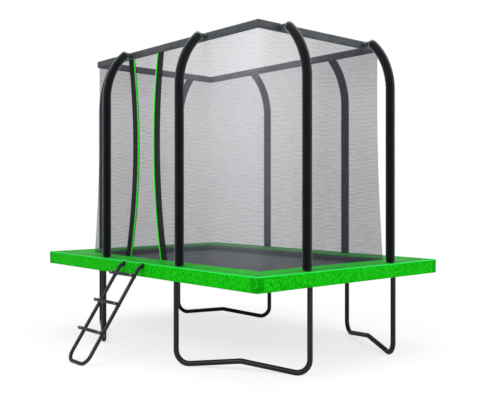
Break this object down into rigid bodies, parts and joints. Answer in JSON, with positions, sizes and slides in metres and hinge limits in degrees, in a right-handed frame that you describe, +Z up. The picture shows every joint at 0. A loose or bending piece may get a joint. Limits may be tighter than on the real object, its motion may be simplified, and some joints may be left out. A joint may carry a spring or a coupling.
{
  "type": "rectangular trampoline",
  "caption": "Rectangular garden trampoline: tube frame on W-shaped legs, sprung mat, padded edge, safety net on curved poles and hook-on ladder.",
  "frame": {"origin": "on the ground under the middle of the deck", "axes": "+X along the deck's long side, -Y towards the side with the door and the ladder, +Z up"},
  "size_m": [3.1, 2.6999, 2.6831],
  "materials": {
    "frame_steel": "satin black powder coat",
    "zinc_screws": "zinc-plated",
    "sleeve_cover": "coated fabric over foam tube",
    "band_cover": "coated fabric sleeve",
    "net_mesh": "fine knitted polyester mesh",
    "door_webbing": "woven webbing",
    "piping": "lime piping",
    "pad_cover": "lime coated fabric",
    "pad_foam": "closed-cell foam",
    "skirt_fabric": "lime coated fabric",
    "strap_webbing": "elastic webbing",
    "spring_steel": "zinc-plated spring wire",
    "mat_weave": "woven polypropylene",
    "mat_webbing": "woven webbing",
    "ladder_steel": "satin black powder coat",
    "plastic_caps": "moulded plastic"
  },
  "bodies": {
    "frame": {"long_rails": "frame_steel", "short_rails": "frame_steel", "corner_rails": "frame_steel", "t_joints": "frame_steel", "frame_screws": "zinc_screws", "leg_front_right": "frame_steel", "leg_back_right": "frame_steel", "leg_back_left": "frame_steel", "leg_front_left": "frame_steel", "leg_screws": "zinc_screws", "lower_poles": "frame_steel", "upper_poles": "frame_steel", "lower_foams": "sleeve_cover", "upper_foams": "sleeve_cover", "pole_caps": "plastic_caps", "ring_tubes": "frame_steel", "ring_elbows": "frame_steel", "ring_bolts": "zinc_screws", "band_front": "band_cover", "band_right": "band_cover", "band_back": "band_cover", "band_left": "band_cover", "net_front_left": "net_mesh", "net_front_right": "net_mesh", "net_door_flap": "net_mesh", "net_right": "net_mesh", "net_back": "net_mesh", "net_left": "net_mesh", "door_bands": "door_webbing", "door_piping": "piping", "pad_cover_front": "pad_cover", "pad_cover_right": "pad_cover", "pad_cover_back": "pad_cover", "pad_cover_left": "pad_cover", "pad_foam_front": "pad_foam", "pad_foam_right": "pad_foam", "pad_foam_back": "pad_foam", "pad_foam_left": "pad_foam", "skirt_front": "skirt_fabric", "skirt_right": "skirt_fabric", "skirt_back": "skirt_fabric", "skirt_left": "skirt_fabric", "pad_straps": "strap_webbing", "springs_front": "spring_steel", "springs_right": "spring_steel", "springs_back": "spring_steel", "springs_left": "spring_steel"},
    "mat": {"mat": "mat_weave", "mat_border": "mat_webbing", "v_rings": "spring_steel"},
    "ladder": {"ladder_rails": "ladder_steel", "ladder_rungs": "ladder_steel", "rung_caps": "plastic_caps", "ladder_bolts": "zinc_screws", "hook_caps": "plastic_caps"}
  },
  "joints": [
    {"name": "mat_bounce", "type": "slide", "parent": "frame", "child": "mat", "axis": [0, 0, -1], "range_m": [0, 0.35], "stiffness_N_per_m": 6500, "springref_m": -0.03, "deforming": ["springs_front", "springs_right", "springs_back", "springs_left"]},
    {"name": "ladder_swing", "type": "hinge", "parent": "frame", "child": "ladder", "pos_m": [0, -1.0315, 0.7207], "axis": [-1, 0, 0], "range_deg": [0, 9]}
  ]
}
